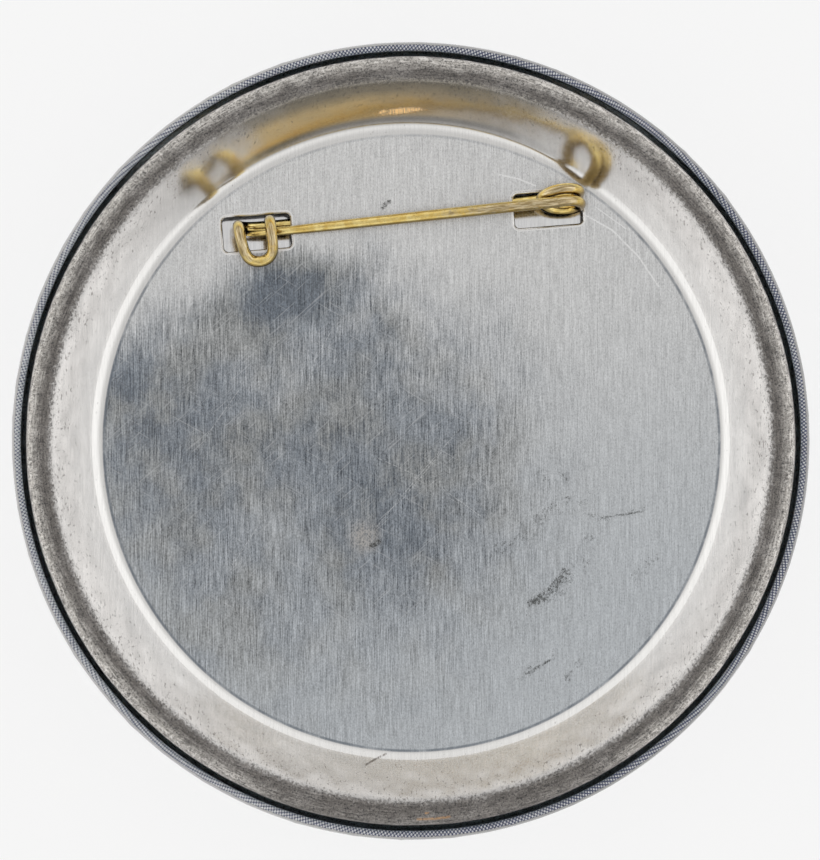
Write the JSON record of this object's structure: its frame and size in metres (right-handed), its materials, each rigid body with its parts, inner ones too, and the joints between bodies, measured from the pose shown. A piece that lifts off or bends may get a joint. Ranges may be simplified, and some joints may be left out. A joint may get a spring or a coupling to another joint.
{
  "type": "button badge",
  "caption": "Round pin-back button badge: domed front shell with film and paper wrapped over its edge, recessed metal back, sprung wire pin with a hooked catch.",
  "frame": {"origin": "on the surface that the badge lies on face down, under the middle of its round outline", "axes": "+Z from the front face to the back, along the badge's axis; +X along the line of the two wire slots, from the catch to the coil; +Y towards the edge of the badge that the slots are near, its top when worn"},
  "size_m": [0.0572, 0.0572, 0.0073],
  "materials": {
    "clear_film": "clear glossy polyester film",
    "printed_paper": "halftone-printed coated paper",
    "front_shell": "bright tinplate",
    "back_plate": "brushed tinplate, scratched and scuffed",
    "pin_wire": "brass-plated wire",
    "pin_arm": "brass-plated wire, worn along its top"
  },
  "bodies": {
    "badge": {"clear_film": "clear_film", "printed_paper": "printed_paper", "front_shell": "front_shell", "back_plate": "back_plate", "pin_wire": "pin_wire"},
    "pin": {"pin_arm": "pin_arm"}
  },
  "joints": [
    {"name": "pin_swing", "type": "hinge", "parent": "badge", "child": "pin", "pos_m": [0.01193, 0.01618, 0.0066], "axis": [-0.9692, -0.0231, 0.2454], "range_deg": [0, 180]}
  ]
}
